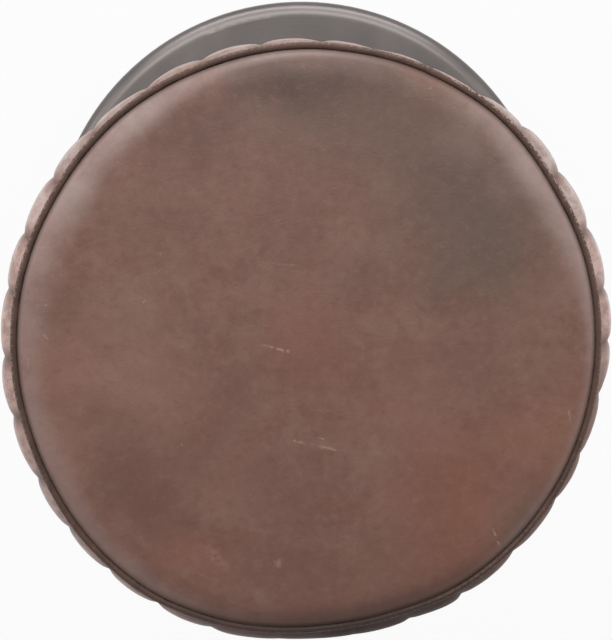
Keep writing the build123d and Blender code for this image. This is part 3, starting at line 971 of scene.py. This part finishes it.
def dark_leather():
    p = Paint("dark_leather", Specular_IOR_Level=0.3)
    mottle = p.noise(60.0, 5.0, 0.6)
    worn = p.noise(420.0, 3.0, 0.6)
    colour = p.mix(p.ramp(mottle, 0.35, 0.65), srgb(68, 48, 41), srgb(86, 63, 54))
    colour = p.tint(colour, srgb(140, 114, 98), worn, 0.62, 0.74, 0.45)
    painted_front_shade = p.attribute("painted_front_shade")
    # Painted shade along the front
    colour = p.mix(painted_front_shade, colour, srgb(46, 31, 26))
    # A painted highlight line along the piping's inner top
    painted_sheen = p.times(p.attribute("painted_sheen"), p.ramp(worn, 0.40, 0.58, 0.2, 1.0))
    colour = p.mix(painted_sheen, colour, srgb(142, 112, 92))
    specked = p.times(p.attribute("specked"), p.ramp(p.noise(520.0, 2.0, 0.7), 0.49, 0.58))
    colour = p.mix(specked, colour, srgb(176, 154, 142))
    normal = p.bump(p.noise(90.0, 3.0), 0.0008, 0.25)
    normal = p.bump(p.cells(700.0), 0.0002, 0.5, normal)
    rough = p.ramp(mottle, 0.3, 0.7, 0.50, 0.62)
    return p.set(Base_Color=colour, Roughness=rough, Normal=normal)


def gunmetal():
    p = Paint("gunmetal", Metallic=1.0, Specular_Tint=(1.0, 0.99, 0.98, 1))
    split = p.add("SeparateXYZ", {0: p.place})
    x, y, z = (split.outputs[k] for k in range(3))
    flat = p.add("CombineXYZ", {0: x, 1: y}).outputs[0]
    radius = p.add("VectorMath", {0: flat}, operation="LENGTH").outputs["Value"]
    turned = p.add("CombineXYZ", {0: radius, 1: z}).outputs[0]
    lines = p.noise(900.0, 3.0, 0.7, turned)
    bands = p.noise(70.0, 3.0, 0.6, turned)
    clouds = p.noise(11.0, 4.0, 0.6)
    peel = p.noise(800.0, 2.0, 0.5)
    dust = p.noise(2600.0, 1.0, 0.5)
    colour = p.mix(p.ramp(clouds, 0.35, 0.65), srgb(97, 92, 91), srgb(110, 104, 103))
    colour = p.tint(colour, srgb(104, 99, 94), bands, 0.40, 0.62, 0.35)
    colour = p.tint(colour, srgb(126, 122, 121), lines, 0.55, 0.75, 0.18)
    colour = p.tint(colour, srgb(130, 126, 125), dust, 0.66, 0.78, 0.3)
    cloudy = p.ramp(clouds, 0.3, 0.7, 0.31, 0.38)
    rough = p.calc("ADD", cloudy, p.ramp(lines, 0.35, 0.7, -0.03, 0.05))
    normal = p.bump(lines, 0.00004, 0.35)
    normal = p.bump(peel, 0.00005, 0.3, normal)
    return p.set(Base_Color=colour, Roughness=rough, Normal=normal)


def metal(name, dark, light, rough, metallic, turned=0.2, pits=0.0):
    """Bare or plated metal with fine machining lines, small blotches and, if asked, cast pits."""
    p = Paint(name, Metallic=metallic)
    clouds = p.noise(55.0, 5.0, 0.6)
    lines = p.noise(60.0, 3.0, 0.6, p.stretched(1.0, 1.0, 22.0))
    colour = p.mix(p.ramp(clouds, 0.35, 0.65), srgb(*dark), srgb(*light))
    colour = p.tint(colour, srgb(*light), p.noise(1400.0, 2.0), 0.62, 0.75, 0.3)
    normal = p.bump(lines, 0.00005, turned)
    normal = p.bump(p.noise(320.0, 6.0, 0.7), 0.0006, pits, normal)
    return p.set(Base_Color=colour, Roughness=p.ramp(clouds, 0.3, 0.7, *rough), Normal=normal)


def rubber():
    p = Paint("rubber", Specular_IOR_Level=0.35)
    dusty = p.noise(90.0, 6.0, 0.65)
    colour = p.mix(p.ramp(dusty, 0.45, 0.75), srgb(34, 34, 34), srgb(62, 60, 58))
    rough = p.ramp(dusty, 0.3, 0.7, 0.7, 0.85)
    normal = p.bump(p.noise(1100.0, 3.0), 0.0001, 0.4)
    return p.set(Base_Color=colour, Roughness=rough, Normal=normal)


def plywood():
    ply = 0.0015
    p = Paint("plywood", Specular_IOR_Level=0.3)
    grain = p.noise(60.0, 6.0, 0.6, p.stretched(1.0, 9.0, 9.0), 0.8)
    height = p.add("SeparateXYZ", {0: p.place}).outputs[2]
    plies = p.calc("SINE", p.times(height, math.pi / ply))
    colour = p.mix(p.ramp(grain, 0.35, 0.65), srgb(190, 154, 112), srgb(214, 182, 138))
    colour = p.tint(colour, srgb(150, 112, 74), plies, -0.2, 0.4, 0.35)
    return p.set(Base_Color=colour, Roughness=0.62, Normal=p.bump(grain, 0.0003, 0.4))


def foam():
    p = Paint("foam", Specular_IOR_Level=0.2)
    pores = p.cells(900.0)
    colour = p.mix(p.ramp(pores, 0.1, 0.6), srgb(196, 176, 132), srgb(232, 218, 182))
    return p.set(Base_Color=colour, Roughness=0.9, Normal=p.bump(pores, 0.0006, 0.7))


def cotton_cord():
    p = Paint("cotton_cord", Specular_IOR_Level=0.2)
    twist = p.noise(500.0, 3.0, 0.6, p.stretched(1.0, 1.0, 3.0))
    colour = p.mix(p.ramp(twist, 0.35, 0.65), srgb(196, 186, 164), srgb(228, 220, 200))
    return p.set(Base_Color=colour, Roughness=0.9, Normal=p.bump(twist, 0.0004, 0.6))


def dust_cloth():
    p = Paint("dust_cloth", Specular_IOR_Level=0.25)
    dots = p.cells(650.0, place=p.stretched(1.0, 1.0, 0.2))
    fibres = p.noise(900.0, 5.0, 0.75)
    colour = p.mix(p.ramp(fibres, 0.4, 0.7), srgb(30, 30, 31), srgb(56, 55, 55))
    normal = p.bump(dots, 0.0002, 0.6, p.bump(fibres, 0.00025, 0.5))
    return p.set(Base_Color=colour, Roughness=0.85, Normal=normal)


# A metal's numbers: dark and light colour on screen, least and most roughness, how metallic it
# is and, where they differ from the usual, how strong its turning marks and its pits are
materials = {
    "brown_leather": brown_leather(),
    "dark_leather": dark_leather(),
    "gunmetal": gunmetal(),
    "cast_iron": metal("cast_iron", (58, 57, 56), (82, 80, 78), (0.62, 0.78), 0.3, 0.0, 0.8),
    "rubber": rubber(),
    "zinc_steel": metal("zinc_steel", (172, 174, 172), (196, 198, 192), (0.34, 0.48), 0.9),
    "black_steel": metal("black_steel", (40, 40, 42), (60, 59, 58), (0.38, 0.52), 0.6),
    "bearing_steel": metal("bearing_steel", (186, 187, 188), (206, 207, 207), (0.16, 0.28), 1.0),
    "bronze": metal("bronze", (158, 118, 68), (186, 146, 92), (0.38, 0.5), 0.9, 0.1, 0.15),
    "plywood": plywood(),
    "foam": foam(),
    "cotton_cord": cotton_cord(),
    "dust_cloth": dust_cloth(),
}

# The pieces, each with its material, the body it rides on and the nodes that it stands for

for row in frame["record"]["subparts"]:
    slots = nodes[row["node"]].data.materials
    slots.clear()
    slots.append(materials[row["material_slot"]])


def dress(obj, body, slot, *stands_for):
    obj.data.materials.append(materials[slot])
    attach(obj, body)
    if stands_for:
        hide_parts(*stands_for)


seat_panel = make_seat_panel()
dress(seat_panel, "seat", "brown_leather", "seat_top", "crown_wadding", "foam_core")

side_band = make_side_band()
dress(side_band, "seat", "brown_leather", "side_band")

welt = make_welt()
dress(welt, "seat", "dark_leather", "piping", "piping_cord")

dust_cover = make_dust_cloth()
staples = make_staples()
dress(dust_cover, "seat", "dust_cloth", "dust_cover")
dress(staples, "seat", "zinc_steel")

dress(make_weld_beads(), "pedestal", "gunmetal")

# Floor: pale, seen from above only, near white to the camera and to reflections

def make_floor():
    half, grey, whiteness = 6, 0.72, 0.91
    corners = [(half * x, half * y, 0) for x, y in ((-1, -1), (1, -1), (1, 1), (-1, 1))]
    floor = mesh_object("floor", corners, [(0, 1, 2, 3)])
    p = Paint("floor", Base_Color=(grey, grey, grey), Roughness=0.9)
    path = p.add("LightPath")
    seen = p.calc("MAXIMUM", path.outputs["Is Camera Ray"], path.outputs["Is Glossy Ray"])
    seen = p.calc("MAXIMUM", seen, path.outputs["Is Transmission Ray"])
    whitened = p.times(seen, whiteness)
    white = p.add("Emission", {"Color": (1, 1, 1, 1), "Strength": 1.0})
    under = p.add("NewGeometry").outputs["Backfacing"]
    lit = p.add("MixShader", {0: whitened, 1: p.shader.outputs[0], 2: white.outputs[0]})
    clear = p.add("BsdfTransparent")
    both = p.add("MixShader", {0: under, 1: lit.outputs[0], 2: clear.outputs[0]})
    p.put(p.tree.nodes["Material Output"].inputs["Surface"], both.outputs[0])
    floor.data.materials.append(p.material)
    return floor


floor = make_floor()

# World: brightest behind the stool and dim in front of it, and white to the camera

def make_world():
    brightest = (-0.15, 0.98, 0.1)
    least_light, most_light = 0.10, 0.66
    world = bpy.data.worlds.new("studio")
    world.use_nodes = True
    tree = world.node_tree
    background = tree.nodes["Background"]
    way = tree.nodes.new("ShaderNodeTexCoord").outputs["Generated"]
    toward = tree.nodes.new("ShaderNodeVectorMath")
    toward.operation = "DOT_PRODUCT"
    toward.inputs[1].default_value = brightest
    tree.links.new(way, toward.inputs[0])
    graded = tree.nodes.new("ShaderNodeMapRange")
    graded.inputs["From Min"].default_value = -1.0
    graded.inputs["From Max"].default_value = 1.0
    graded.inputs["To Min"].default_value = least_light
    graded.inputs["To Max"].default_value = most_light
    tree.links.new(toward.outputs["Value"], graded.inputs["Value"])
    path = tree.nodes.new("ShaderNodeLightPath")
    strength = graded.outputs["Result"]
    for ray in ("Is Camera Ray", "Is Glossy Ray", "Is Transmission Ray"):
        more = tree.nodes.new("ShaderNodeMath")
        more.operation = "MAXIMUM"
        tree.links.new(strength, more.inputs[0])
        tree.links.new(path.outputs[ray], more.inputs[1])
        strength = more.outputs[0]
    tree.links.new(strength, background.inputs["Strength"])
    background.inputs["Color"].default_value = (1, 1, 1, 1)
    return world


bpy.context.scene.world = make_world()

# Soft lights, most of them from behind the seat, as in the photograph: place, what each one
# faces, width, height and power in watts

lights = {
    "overhead": ((-0.2, 1.75, 3.0), (0, 0.6, 0.5), 3.4, 1.3, 42),
    "window": ((-0.2, 2.7, 1.5), (0, 0, 0.4), 4.0, 2.6, 44),
    "low_strip": ((0, 1.7, 0.3), (0, 0, 0.05), 2.2, 0.5, 11),
    "left_light": ((-2.4, 0.6, 1.0), (0, 0, 0.6), 1.4, 1.2, 11),
    "right_light": ((2.4, 0.6, 1.0), (0, 0, 0.6), 1.4, 1.2, 15),
}

for name, (place, target, width, height, power) in lights.items():
    lamp = bpy.data.lights.new(name, "AREA")
    lamp.shape = "RECTANGLE"
    lamp.size = width
    lamp.size_y = height
    lamp.energy = power
    light = add_object(name, lamp)
    light.location = place
    light.rotation_euler = (Vector(target) - Vector(place)).to_track_quat("-Z", "Y").to_euler()
    light.visible_camera = False

bpy.context.scene.view_settings.view_transform = "Standard"
